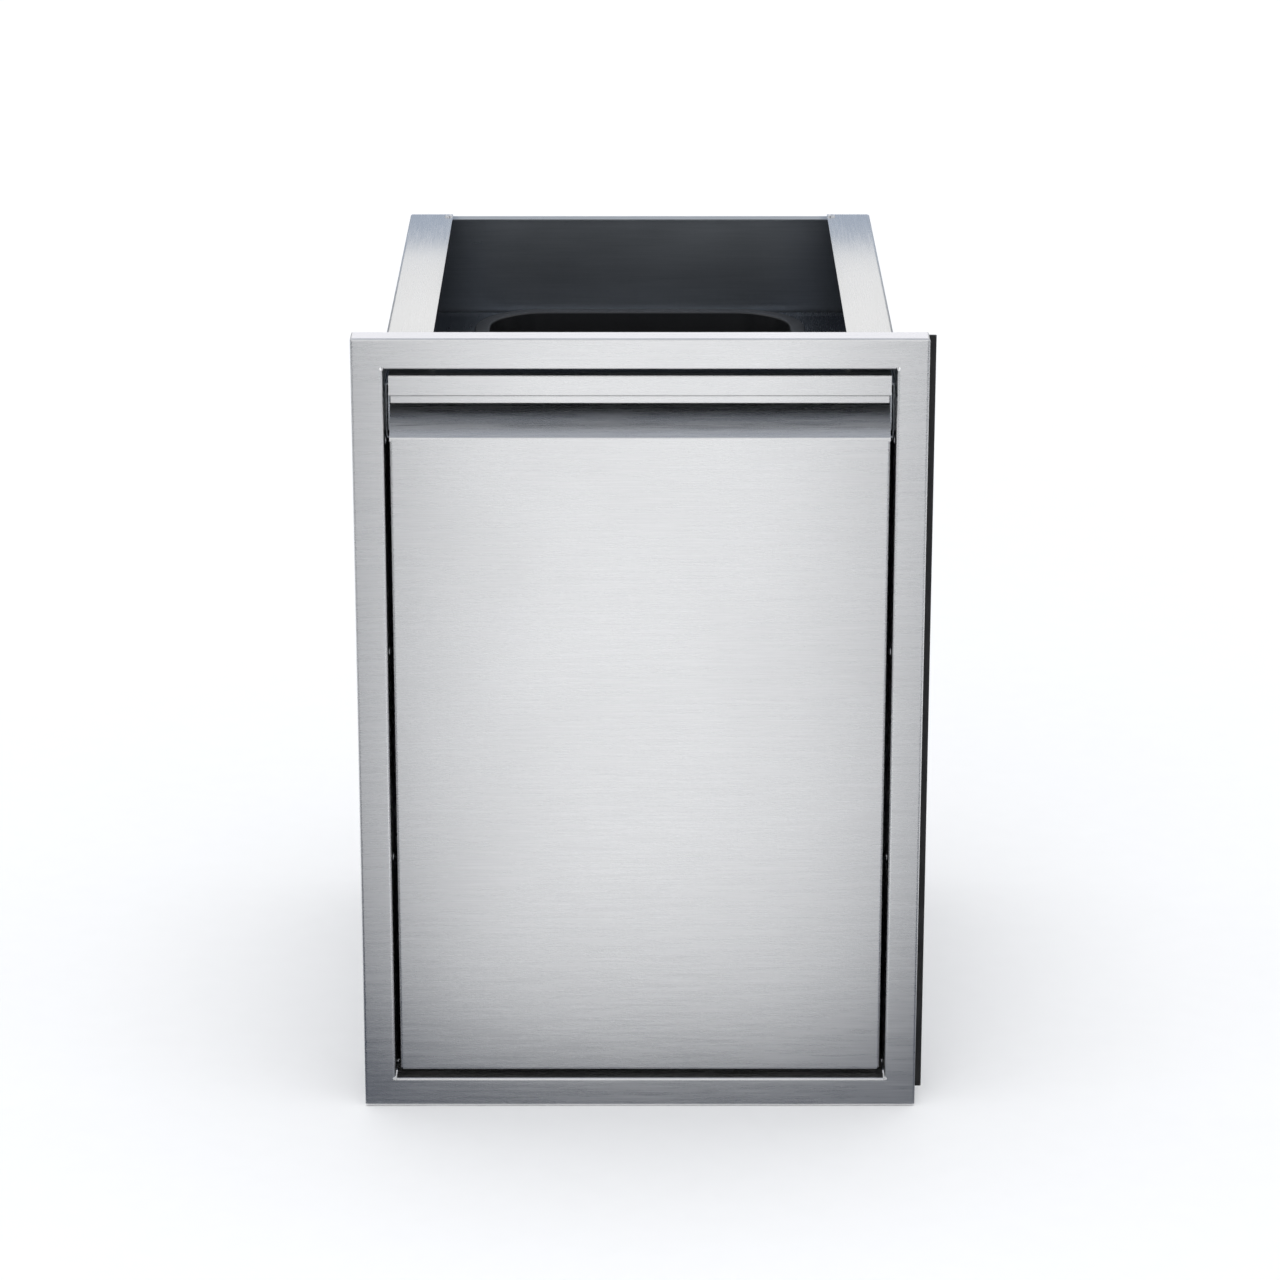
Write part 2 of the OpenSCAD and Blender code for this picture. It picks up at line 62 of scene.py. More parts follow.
NODES = frame["nodes"]
SCENE = bpy.context.scene
MM = 0.001
FRONT_Y = CAD_BOX[0].y
BACK_Y = CAD_BOX[1].y
HALF_WIDTH = -CAD_BOX[0].x
FLOOR_Z = CAD_BOX[0].z
TOP_Z = CAD_BOX[1].z
X, Y, Z = 0, 1, 2

# ---- camera: level from side to side, tilted down, no lens shift ----

CAMERA_PLACE = Vector((0.0, -3.49, 1.558))
CAMERA_PITCH = math.radians(18.66)
CAMERA_LENS = 128.0
CAMERA_SENSOR = 36.0


def make_camera():
    cam = bpy.data.objects.new("camera", bpy.data.cameras.new("camera"))
    SCENE.collection.objects.link(cam)
    cam.location = CAMERA_PLACE
    cam.rotation_euler = (math.pi / 2 - CAMERA_PITCH, 0, 0)
    cam.data.sensor_width = CAMERA_SENSOR
    cam.data.lens = CAMERA_LENS
    SCENE.camera = cam


make_camera()
SCENE.view_settings.view_transform = "Standard"

# ---- small tools for meshes ----

SMOOTH_ANGLE = math.radians(35)     # sharper edges than this stay sharp


def add_piece(name, bm, body, material, stands_for):
    """Makes an object of bm that rides on body and stands for one CAD node."""
    mesh = bpy.data.meshes.new(name)
    bmesh.ops.recalc_face_normals(bm, faces=bm.faces)
    bm.to_mesh(mesh)
    bm.free()
    piece = bpy.data.objects.new(name, mesh)
    SCENE.collection.objects.link(piece)
    mesh.shade_smooth()
    mesh.set_sharp_from_angle(angle=SMOOTH_ANGLE)
    mesh.materials.append(material)
    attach(piece, body)
    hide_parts(stands_for)


def rounded_loop(half_x, half_y, radius, steps):
    """Points of a rounded rectangle round the origin, anticlockwise."""
    points = []
    for k, (sx, sy) in enumerate(((1, 1), (-1, 1), (-1, -1), (1, -1))):
        for i in range(steps + 1):
            a = math.pi / 2 * (k + i / steps)
            points.append((sx * (half_x - radius) + radius * math.cos(a),
                           sy * (half_y - radius) + radius * math.sin(a)))
    return points


def bridge(bm, low, high):
    """Faces between two rings of the same number of vertices."""
    count = len(low)
    for i in range(count):
        j = (i + 1) % count
        bm.faces.new((low[i], low[j], high[j], high[i]))


# ---- small tools for materials ----


class Tree:
    """A node tree with short ways to add and link nodes."""

    def __init__(self, name):
        self.material = bpy.data.materials.new(name)
        self.material.use_nodes = True
        self.nodes = self.material.node_tree.nodes
        self.links = self.material.node_tree.links
        self.shader = self.nodes["Principled BSDF"]

    def add(self, kind, **settings):
        node = self.nodes.new(kind)
        for key, value in settings.items():
            setattr(node, key, value)
        return node

    def link(self, source, target):
        self.links.new(source, target)

    def position(self, scale):
        """The place on the object, stretched by scale along each axis."""
        coordinates = self.add("ShaderNodeTexCoord")
        mapping = self.add("ShaderNodeMapping")
        mapping.inputs["Scale"].default_value = scale
        self.link(coordinates.outputs["Object"], mapping.inputs["Vector"])
        return mapping.outputs["Vector"]

    def axes(self):
        """The X, Y and Z of the place on the object."""
        split = self.add("ShaderNodeSeparateXYZ")
        self.link(self.position((1, 1, 1)), split.inputs["Vector"])
        return [split.outputs[axis] for axis in "XYZ"]

    def noise(self, scale, detail=2.0, roughness=0.5):
        """Noise from 0 to 1, stretched by the three numbers of scale."""
        node = self.add("ShaderNodeTexNoise")
        node.inputs["Scale"].default_value = 1.0
        node.inputs["Detail"].default_value = detail
        node.inputs["Roughness"].default_value = roughness
        self.link(self.position(scale), node.inputs["Vector"])
        return node.outputs["Fac"]

    def span(self, value, low, high, start=0.3, end=0.7):
        """value between start and end, moved to the span from low to high."""
        node = self.add("ShaderNodeMapRange")
        node.inputs["From Min"].default_value = start
        node.inputs["From Max"].default_value = end
        node.inputs["To Min"].default_value = low
        node.inputs["To Max"].default_value = high
        self.link(value, node.inputs["Value"])
        return node.outputs["Result"]

    def maths(self, operation, *values):
        """What a Math node makes of values, each a number or a socket."""
        node = self.add("ShaderNodeMath", operation=operation)
        for socket, value in zip(node.inputs, values):
            if isinstance(value, (int, float)):
                socket.default_value = value
            else:
                self.link(value, socket)
        return node.outputs["Value"]

    def between(self, factor, low, high):
        """A colour from low to high by factor. Each of the two is a colour or a socket."""
        node = self.add("ShaderNodeMix", data_type="RGBA")
        for name, colour in (("A", low), ("B", high)):
            if isinstance(colour, tuple):
                node.inputs[name].default_value = (*colour, 1)
            else:
                self.link(colour, node.inputs[name])
        self.link(factor, node.inputs["Factor"])
        return node.outputs["Result"]

    def bump(self, height, distance, strength):
        node = self.add("ShaderNodeBump")
        node.inputs["Distance"].default_value = distance
        node.inputs["Strength"].default_value = strength
        self.link(height, node.inputs["Height"])
        self.link(node.outputs["Normal"], self.shader.inputs["Normal"])


# ---- materials ----

GRAIN_LONG = 26.0      # a scratch is about 40 mm long
GRAIN_FINE = 1100.0    # and a millimetre wide
GRAIN_COARSE = 380.0   # broader bands, twice as long
HAIR_SHARE = 0.62      # the scratches' share of the grain; the bands make up the rest
SPREAD = {X: (0.0, 1.0, 1.0), Y: (1.0, 0.0, 1.0)}  # highlights are drawn out across the grain
SMEAR = 0.025          # the roughness changes by this much from place to place


def brushed_steel(name, dark, light, rough, along, streak=0.05, rearmost=None):
    """Brushed stainless steel. along is the axis that the grain runs along, and streak how much the roughness
    changes from scratch to scratch. rearmost is a second, lighter pair of colours for the housing's rear
    face; where it is given, dark and light are a painted shade for the inside of the housing."""
    tree = Tree(name)
    fine = [GRAIN_FINE] * 3
    coarse = [GRAIN_COARSE] * 3
    fine[along] = GRAIN_LONG
    coarse[along] = GRAIN_LONG / 2
    hair = tree.noise(fine, detail=3.0, roughness=0.6)
    band = tree.noise(coarse, detail=2.0)
    cloud = tree.noise((7.0, 7.0, 7.0), detail=3.0)
    scratches = tree.maths("MULTIPLY", hair, HAIR_SHARE)
    grain = tree.maths("ADD", scratches, tree.maths("MULTIPLY", band, 1.0 - HAIR_SHARE))
    tone = tree.span(grain, 0, 1)
    colour = tree.between(tone, dark, light)
    if rearmost:
        # The rear face gets the lighter pair; the rest keeps the darker pair, a painted shade inside the
        # housing.
        at_back = tree.span(tree.axes()[Y], 0.0, 1.0, BACK_Y - 0.8 * MM, BACK_Y - 0.4 * MM)
        colour = tree.between(at_back, colour, tree.between(tone, *rearmost))
    tree.link(colour, tree.shader.inputs["Base Color"])
    streaks = tree.span(grain, -streak, streak)
    smears = tree.span(cloud, rough - SMEAR, rough + SMEAR)
    tree.link(tree.maths("ADD", streaks, smears), tree.shader.inputs["Roughness"])
    tree.shader.inputs["Metallic"].default_value = 1.0
    tree.shader.inputs["Anisotropic"].default_value = 0.65
    direction = tree.add("ShaderNodeCombineXYZ")
    for axis, value in zip("XYZ", SPREAD[along]):
        direction.inputs[axis].default_value = value
    tree.link(direction.outputs["Vector"], tree.shader.inputs["Tangent"])
    tree.bump(hair, 0.004 * MM, 0.5)
    return tree.material


def plated_steel(name):
    """Bright zinc plating: bluish, with faint drawing lines along the slide and a mottled sheen."""
    tree = Tree(name)
    line = tree.noise((900.0, 6.0, 900.0), detail=2.0)
    spangle = tree.noise((60.0, 25.0, 60.0), detail=4.0, roughness=0.65)
    mottled = tree.maths("ADD", tree.maths("MULTIPLY", line, 0.5), tree.maths("MULTIPLY", spangle, 0.5))
    colour = tree.between(tree.span(mottled, 0, 1), (0.46, 0.49, 0.53), (0.66, 0.69, 0.73))
    tree.link(colour, tree.shader.inputs["Base Color"])
    tree.link(tree.span(spangle, 0.2, 0.36), tree.shader.inputs["Roughness"])
    tree.shader.inputs["Metallic"].default_value = 1.0
    tree.bump(line, 0.03 * MM, 0.5)
    return tree.material


def bright_fastener(name):
    """Polished stainless screws and rivets with faint turning marks and handling wear."""
    tree = Tree(name)
    marks = tree.noise((1400.0, 1400.0, 1400.0), detail=3.0)
    wear = tree.noise((260.0, 260.0, 260.0), detail=4.0, roughness=0.7)
    tree.link(tree.between(tree.span(wear, 0, 1), (0.60, 0.61, 0.63), (0.80, 0.81, 0.83)),
              tree.shader.inputs["Base Color"])
    tree.link(tree.span(wear, 0.14, 0.30), tree.shader.inputs["Roughness"])
    tree.shader.inputs["Metallic"].default_value = 1.0
    tree.bump(marks, 0.02 * MM, 0.4)
    return tree.material


def black_rubber(name):
    """Matte black rubber with a fine moulded skin and a little dust."""
    tree = Tree(name)
    skin = tree.noise((2200.0, 2200.0, 2200.0), detail=3.0)
    dust = tree.noise((90.0, 90.0, 30.0), detail=5.0, roughness=0.7)
    tree.link(tree.between(tree.span(dust, 0, 1, 0.45, 0.8), (0.008, 0.008, 0.009), (0.022, 0.022, 0.023)),
              tree.shader.inputs["Base Color"])
    tree.link(tree.span(skin, 0.62, 0.8), tree.shader.inputs["Roughness"])
    tree.bump(skin, 0.05 * MM, 0.6)
    return tree.material


def bin_plastic(name):
    """Black moulded plastic: a fine spark-eroded grain and faint rub marks, with a painted light that makes
    the top of the rim paler.
    """
    tree = Tree(name)
    grain = tree.noise((1300.0, 1300.0, 1300.0), detail=3.0, roughness=0.6)
    flow = tree.noise((14.0, 14.0, 4.0), detail=4.0, roughness=0.6)
    rub = tree.noise((120.0, 120.0, 18.0), detail=4.0, roughness=0.7)
    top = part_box("bin")[1].z
    # Painted light: the top of the rim is given a paler colour for the sheen it catches.
    painted_light_on_rim = tree.span(tree.axes()[Z], 0.0, 1.0, top - 1.2 * MM, top - 0.1 * MM)
    body = tree.between(tree.span(flow, 0, 1), (0.005, 0.0053, 0.006), (0.009, 0.0094, 0.0105))
    rim = tree.between(tree.span(rub, 0, 1), (0.055, 0.058, 0.064), (0.070, 0.073, 0.079))
    tree.link(tree.between(painted_light_on_rim, body, rim), tree.shader.inputs["Base Color"])
    gloss = tree.maths("ADD", tree.span(grain, 0.34, 0.46), tree.span(rub, -0.04, 0.05))
    tree.link(gloss, tree.shader.inputs["Roughness"])
    tree.shader.inputs["IOR"].default_value = 1.6
    tree.bump(grain, 0.06 * MM, 0.5)
    return tree.material


FRONT_STEEL = brushed_steel("brushed_front", (0.70, 0.699, 0.697), (0.83, 0.828, 0.825), 0.28, X)
WALL_STEEL = brushed_steel("brushed_wall", (0.70, 0.698, 0.695), (0.80, 0.798, 0.795), 0.26, Y)
# Painted shade: the liner and the inside of the back wall are brushed steel given a darker, bluish colour for
# the shade inside the housing; the back wall's rear face is lighter.
BODY_STEEL_PAINTED_SHADE = brushed_steel("brushed_body", (0.38, 0.41, 0.44), (0.44, 0.47, 0.50), 0.30, X, 0.012)
BACK_STEEL_PAINTED_SHADE_INSIDE = brushed_steel("brushed_back_painted_shade_inside", (0.38, 0.41, 0.44), (0.44, 0.47, 0.50), 0.30, X, 0.012,
                           ((0.64, 0.645, 0.65), (0.75, 0.755, 0.76)))
LEVEL_STEEL = brushed_steel("brushed_level", (0.56, 0.585, 0.62), (0.64, 0.665, 0.70), 0.28, Y, 0.015)
PLATED = plated_steel("plated_steel")
FASTENER = bright_fastener("bright_fastener")
RUBBER = black_rubber("black_rubber")
PLASTIC = bin_plastic("bin_plastic")

BY_NODE = {
    "front_frame": FRONT_STEEL, "front_panel": FRONT_STEEL, "grip_strip": FRONT_STEEL,
    "left_wall": WALL_STEEL, "right_wall": WALL_STEEL,
    "back_wall": BACK_STEEL_PAINTED_SHADE_INSIDE, "front_liner": BODY_STEEL_PAINTED_SHADE,
    "bottom_pan": LEVEL_STEEL, "bin_tray": LEVEL_STEEL,
    "left_gusset": WALL_STEEL, "right_gusset": WALL_STEEL,
    "edge_seal": RUBBER, "rear_bumpers": RUBBER, "bin": PLASTIC,
}
BY_SLOT = {"plated_steel": PLATED, "bright_fastener": FASTENER}


def finish_nodes():
    """Gives every CAD node its material."""
    slots = {row["node"]: row["material_slot"] for row in frame["record"]["subparts"]}
    for name, node in NODES.items():
        node.data.materials.clear()
        node.data.materials.append(BY_NODE.get(name) or BY_SLOT[slots[name]])


finish_nodes()

# ---- the bin, as one moulded shell ----

BIN_WALL = 2.2 * MM
RIM_LAP = 11 * MM          # overhang of the rim past the bin's side
RIM_SKIRT = 8 * MM
RIM_RADIUS = 62 * MM
BIN_TAPER = 18 * MM        # each side leans in by this much from rim to base
BASE_SHARPER = 6 * MM      # the corners' radius is this much smaller at the base
CORNER_STEPS = 14


def arc(inset, z, radius, start, end, steps=5):
    """Points (inset, height) on a round edge. Angles in degrees: 0 is outwards, 90 is up."""
    angles = [math.radians(start + (end - start) * i / steps) for i in range(steps + 1)]
    return [(inset - radius * math.cos(a), z + radius * math.sin(a)) for a in angles]


def bin_section(base, top):
    """Points (inset, height) of the bin's section, from the middle of its underside up the outside, round the
    rim and down the inside. The inset leaves out the lean of the sides."""
    foot = 7 * MM
    ring = 9 * MM              # width of the ring that the bin stands on
    hollow = 3 * MM
    step = 0.8 * MM            # the upper part of the sides stands out by this much
    step_z = base + 0.62 * (top - base)
    outside = RIM_LAP
    inside = RIM_LAP + BIN_WALL
    under = top - BIN_WALL
    edge = 1.5 * MM
    hem = BIN_WALL / 2
    fillet = 1.8 * MM
    ring_edge = 0.6 * MM
    low_out = outside + step
    low_in = inside + step
    ring_in = low_out + foot + ring
    section = [(ring_in + 2 * hollow, base + hollow), (ring_in + hollow, base + hollow)]
    section += arc(ring_in, base + ring_edge, ring_edge, -180, -90, 2)
    section += arc(low_out + foot, base + foot, foot, -90, 0)
    section += [(low_out, step_z - step), (outside + step / 2, step_z), (outside, step_z + step)]
    section += arc(outside - fillet, under - fillet, -fillet, 0, -90, 3)
    section += arc(BIN_WALL + fillet, under - fillet, fillet, 90, 0, 3)
    section += arc(hem, top - RIM_SKIRT + hem, hem, -180, 0, 6)
    section += arc(edge, top - edge, edge, 0, 90)
    section += arc(inside - fillet, top - fillet, -fillet, -90, 0)
    section += [(inside, step_z + step), (inside + step / 2, step_z), (low_in, step_z - step)]
    section += arc(low_in + foot, base + hollow + BIN_WALL + foot, foot, 0, -90)
    return section


def make_bin():
    low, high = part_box("bin")
    centre = (low + high) / 2
    half = (high - low) / 2
    bm = bmesh.new()
    rings = []
    for inset, z in bin_section(low.z, high.z):
        lean = (high.z - z) / (high.z - low.z) if inset >= RIM_LAP else 0
        lap = min(inset, RIM_LAP + BIN_WALL)
        inset += BIN_TAPER * lean
        radius = RIM_RADIUS - lap - BASE_SHARPER * lean
        loop = rounded_loop(half.x - inset, half.y - inset, radius, CORNER_STEPS)
        rings.append([bm.verts.new((centre.x + x, centre.y + y, z)) for x, y in loop])
    for lower, upper in zip(rings, rings[1:]):
        bridge(bm, lower, upper)
    bm.faces.new(rings[0])
    bm.faces.new(rings[-1])
    add_piece("bin_shell", bm, "bin", PLASTIC, "bin")


make_bin()

# ---- screws, rivets and bumpers, turned round the middles of the CAD's ----

ROUND = 24                 # corners of a turned piece, a multiple of six for the hexagon sockets
WELD = 0.01 * MM           # corners closer than this are one
DOME_STEP = math.radians(15)


def solids(node):
    """Lowest and highest corner of each separate solid of a CAD node."""
    bm = bmesh.new()
    bm.from_mesh(NODES[node].data)
    bmesh.ops.remove_doubles(bm, verts=bm.verts, dist=WELD)
    boxes = []
    left = set(bm.verts)
    while left:
        group = {left.pop()}
        newest = set(group)
        while newest:
            newest = {edge.other_vert(v) for v in newest for edge in v.link_edges} - group
            group |= newest
        left -= group
        boxes.append(([min(v.co[i] for v in group) for i in (X, Y, Z)],
                      [max(v.co[i] for v in group) for i in (X, Y, Z)]))
    bm.free()
    return sorted(boxes)


def dome(radius, height):
    """Points (radius, height) of a domed head, from its seat to its top."""
    rim = 0.25 * height
    crown = [(math.cos(i * DOME_STEP), math.sin(i * DOME_STEP)) for i in range(1, 6)]
    return [(radius, 0), (radius, rim)] + [(radius * a, rim + (height - rim) * b) for a, b in crown]


def chamfered(radius, length):
    """Points (radius, height) of the end of a screw."""
    return [(radius, 0), (radius, length - 0.3 * radius), (0.7 * radius, length)]


def cushion(radius, length):
    """Points (radius, height) of a bumper that narrows to a rounded face."""
    outline = ((1, 0), (1, 0.3), (0.92, 0.36), (0.88, 0.8), (0.8, 0.95), (0.68, 1))
    return [(radius * across, length * along) for across, along in outline]


def hexagon_reach(radius, angle):
    """Distance from the middle of a hexagon to its side at an angle."""
    return radius * math.cos(math.pi / 6) / math.cos(angle % (math.pi / 3) - math.pi / 6)


def turn(bm, points, place, axis, sign, socket=0.0):
    """Turns points round axis at place, heading along sign. socket is the radius of a hexagon recess in the
    top, which goes most of the way down to the seat."""
    others = [i for i in (X, Y, Z) if i != axis]
    recess = []
    if socket:
        top = points[-1][1]
        recess = [(socket, top), (socket, 0.35 * top)]
        points = [point for point in points if point[0] > 1.2 * socket]
    rings = []
    for number, (radius, height) in enumerate(points + recess):
        ring = []
        for k in range(ROUND):
            angle = 2 * math.pi * k / ROUND
            reach = radius if number < len(points) else hexagon_reach(radius, angle)
            co = [0.0] * 3
            co[axis] = place[axis] + sign * height
            co[others[0]] = place[others[0]] + reach * math.cos(angle)
            co[others[1]] = place[others[1]] + reach * math.sin(angle)
            ring.append(bm.verts.new(co))
        rings.append(ring)
    for lower, upper in zip(rings, rings[1:]):
        bridge(bm, lower, upper)
    bm.faces.new(rings[0])
    bm.faces.new(rings[-1])


RIVET = (3 * MM, 1 * MM)
# node: axis, then radius and height of the head at the inner (X), rear (Y) or upper (Z) end, radius of its
# hexagon socket, radius of the shank, and radius and height of the head at the other end
TURNED = {
    "frame_screws": (X, 4 * MM, 1.2 * MM, 1.3 * MM, 2 * MM, None),
    "top_rivets": (Z, 3.5 * MM, 1.8 * MM, 0, 1.6 * MM, RIVET),
    "pan_rivets": (Z, *RIVET, 0, 1.6 * MM, None),
    "back_rivets": (X, *RIVET, 0, 1.6 * MM, RIVET),
    "slide_rivets": (X, 3.6 * MM, 0.95 * MM, 0, 2 * MM, RIVET),
    "liner_rivets": (X, *RIVET, 0, 1.6 * MM, RIVET),
    "tray_screws": (X, 3.5 * MM, 1.8 * MM, 1.3 * MM, 2 * MM, None),
    "front_screws": (Y, 3.5 * MM, 1.8 * MM, 1.3 * MM, 2 * MM, None),
}


def make_fastener(bm, low, high, axis, radius, height, socket, shank, far):
    """One screw or rivet that fills the box from low to high, from a row of TURNED. On the right of the part,
    the inner end is the lower one."""
    seat = [(a + b) / 2 for a, b in zip(low, high)]
    sign = -1 if axis == X and seat[X] > 0 else 1
    seat[axis] = (low if sign < 0 else high)[axis] - sign * height
    length = high[axis] - low[axis] - height
    turn(bm, dome(radius, height), seat, axis, sign, socket)
    if far:
        length -= far[1]
        end = list(seat)
        end[axis] -= sign * length
        turn(bm, dome(*far), end, axis, -sign)
    turn(bm, chamfered(shank, length), seat, axis, -sign)


def make_fasteners():
    bodies = frame["record"]["behaviour"]["bodies"]
    body_of = {node: body for body, nodes in bodies.items() for node in nodes}
    for node, row in TURNED.items():
        bm = bmesh.new()
        for low, high in solids(node):
            make_fastener(bm, low, high, *row)
        add_piece(node + "_turned", bm, body_of[node], FASTENER, node)


def make_bumpers():
    stem_radius = 2.5 * MM
    stem = 1.2 * MM            # length of the stem that goes through the wall
    bm = bmesh.new()
    for low, high in solids("rear_bumpers"):
        seat = [(low[X] + high[X]) / 2, high[Y] - stem, (low[Z] + high[Z]) / 2]
        turn(bm, cushion((high[X] - low[X]) / 2, seat[Y] - low[Y]), seat, Y, -1)
        turn(bm, chamfered(stem_radius, stem), seat, Y, 1)
    add_piece("rear_bumpers_turned", bm, "housing", RUBBER, "rear_bumpers")


make_fasteners()
make_bumpers()

# ---- floor, light and backdrop ----

FLOOR_SIDE = 30.0


def across_y(y, x0, x1, z0, z1):
    """Corners of an upright card that stands across the Y axis."""
    return [(x0, y, z0), (x1, y, z0), (x1, y, z1), (x0, y, z1)]


def across_x(x, y0, y1, z0, z1):
    """Corners of an upright card that stands across the X axis."""
    return [(x, y0, z0), (x, y1, z0), (x, y1, z1), (x, y0, z1)]


def level(z, x, y0, y1):
    """Corners of a level card or floor that reaches x to either side."""
    return [(-x, y0, z), (x, y0, z), (x, y1, z), (-x, y1, z)]


def flat_mesh(name, corners):
    """A flat face that is staging and not part of the object."""
    bm = bmesh.new()
    bm.faces.new([bm.verts.new(corner) for corner in corners])
    mesh = bpy.data.meshes.new(name)
    bm.to_mesh(mesh)
    bm.free()
    flat = bpy.data.objects.new(name, mesh)
    SCENE.collection.objects.link(flat)
    return flat


def make_floor():
    floor = flat_mesh("floor", level(FLOOR_Z, FLOOR_SIDE, -FLOOR_SIDE, FLOOR_SIDE))
    tree = Tree("floor_paper")
    speckle = tree.span(tree.noise((40.0, 40.0, 40.0), detail=3.0), 0, 1)
    paper = tree.between(speckle, (0.910, 0.910, 0.910), (0.918, 0.918, 0.918))
    tree.link(paper, tree.shader.inputs["Base Color"])
    tree.shader.inputs["Roughness"].default_value = 0.9
    floor.data.materials.append(tree.material)
    return floor


def seen_only_in_reflections(card):
    """A studio card that gives the steel something to mirror, and neither shows nor throws a shadow."""
    card.visible_camera = False
    card.visible_diffuse = False
    card.visible_shadow = False
    card.visible_transmission = False


def make_card(name, corners, colour, opacity=None):
    """A card of one colour. opacity is a function that gets the card's tree and gives a socket."""
    card = flat_mesh(name, corners)
    seen_only_in_reflections(card)
    tree = Tree(name)
    tree.nodes.remove(tree.shader)
    glow = tree.add("ShaderNodeEmission")
    glow.inputs["Color"].default_value = (*colour, 1)
    clear = tree.add("ShaderNodeBsdfTransparent")
    mix = tree.add("ShaderNodeMixShader")
    tree.link(clear.outputs["BSDF"], mix.inputs[1])
    tree.link(glow.outputs["Emission"], mix.inputs[2])
    mix.inputs["Fac"].default_value = 1.0
    if opacity:
        tree.link(opacity(tree), mix.inputs["Fac"])
    tree.link(mix.outputs["Shader"], tree.nodes["Material Output"].inputs["Surface"])
    card.data.materials.append(tree.material)


# Painted shade: a nearly black card for the gap and the lip of the drawer front, the back of its finger
# recess and the bin's mouth.
NO_LIGHT = (0.004, 0.005, 0.006)
# Painted shade: a nearly black card for the housing's rear corners.
CORNER_SHADE_CARD = (0.012, 0.014, 0.018)
# Painted shade: dim cards that darken the reflection in the finger recess, less so towards its front.
FINGER_SHADE_CARD = (0.055, 0.063, 0.080)
FINGER_FORE_SHADE_CARD = (0.20, 0.22, 0.26)
BLACK_CARD = (0.040, 0.052, 0.080)
# Painted highlight: a white card that glows over the frame's top.
HIGHLIGHT_CARD = (1.15, 1.15, 1.21)
GREY_CARD = (0.30, 0.32, 0.35)
BLUE_CARD = (0.42, 0.48, 0.58)
FOOT_START = 1.06          # the painted shade's opacity at the foot, before it is held to FOOT_DENSITY
FOOT_DENSITY = 0.80
FOOT_DEPTH = 0.19          # it falls by a factor of e over this distance in front
REAR_FOOT_DEPTH = 0.22
WIDENING = -0.29           # the front's mirror image widens with the distance by this slope
SIDE_REACH = 0.30          # the shade of the sides starts in the middle and is full this far out
SIDE_POWER = 3.0           # and grows with this power of the distance from the middle
RIGHT_SHARE = 0.8          # the right side is this much fainter than the left
THIN_START, THIN_END = 0.32, 0.65
THIN_SHARE = 0.25          # of the sides' shade is left beyond THIN_END
CORNER_START, CORNER_END = 0.115, 0.18
CORNER_DENSITY = 0.95


def foot_shade(tree, distance, depth, start, most):
    """Opacity of the painted shade on the floor at a distance, below zero, from the object's foot."""
    near = tree.maths("EXPONENT", tree.maths("DIVIDE", distance, depth))
    return tree.maths("MINIMUM", tree.maths("MULTIPLY", near, start), most)


def front_floor_shade(tree):
    """Painted shade on the floor: dense beside the front's foot, and out to the sides, where it thins again
    further out.
    """
    x, y = tree.axes()[:2]
    across = tree.maths("DIVIDE", x, tree.maths("ADD", tree.maths("MULTIPLY", y, WIDENING), 1.0))
    left = tree.maths("POWER", tree.span(across, 1.0, 0.0, -SIDE_REACH, 0.0), SIDE_POWER)
    right = tree.maths("POWER", tree.span(across, 0.0, 1.0, 0.0, SIDE_REACH), SIDE_POWER)
    thin = tree.span(tree.maths("ABSOLUTE", across), 1.0, THIN_SHARE, THIN_START, THIN_END)
    sides = tree.maths("MULTIPLY", tree.maths("ADD", left, tree.maths("MULTIPLY", right, RIGHT_SHARE)), thin)
    depth, start, most = [
        tree.maths("ADD", tree.maths("MULTIPLY", sides, more), base)
        for more, base in ((0.35, FOOT_DEPTH), (0.5, FOOT_START), (0.15, FOOT_DENSITY))
    ]
    foot = foot_shade(tree, y, depth, start, most)
    clear = tree.maths("MULTIPLY", tree.maths("SUBTRACT", 1.0, sides), tree.maths("SUBTRACT", 1.0, foot))
    return tree.maths("SUBTRACT", 1.0, clear)


def rear_floor_shade(tree):
    """Painted shade on the floor: dense beside the foot of the sides and the back."""
    x, y = tree.axes()[:2]
    beside = tree.maths("SUBTRACT", HALF_WIDTH, tree.maths("ABSOLUTE", x))
    behind = tree.maths("SUBTRACT", BACK_Y, y)
    distance = tree.maths("MINIMUM", tree.maths("MINIMUM", beside, behind), 0.0)
    return foot_shade(tree, distance, REAR_FOOT_DEPTH, FOOT_START, FOOT_DENSITY)


def corner_shade(tree):
    """Opacity of the painted shade: dense in the rear corners of the housing, thinning towards its middle."""
    beside = tree.maths("ABSOLUTE", tree.axes()[X])
    return tree.span(beside, 0.0, CORNER_DENSITY, CORNER_START, CORNER_END)


CARD_TOP = 1.3             # of the cards that stand round the object


def make_floor_cards():
    """A painted shade on the floor: dark cards, seen only in reflections, dense at the object's foot and out
    to the front's sides, which the walls and the front mirror.
    """
    card_z = FLOOR_Z + 2 * MM
    border = FRONT_Y - 2 * MM
    reach = 2.5
    make_card("front_floor_painted_shade", level(card_z, reach, -6.0, border), BLACK_CARD, front_floor_shade)
    make_card("rear_floor_painted_shade", level(card_z, reach, border, 4.0), BLACK_CARD, rear_floor_shade)


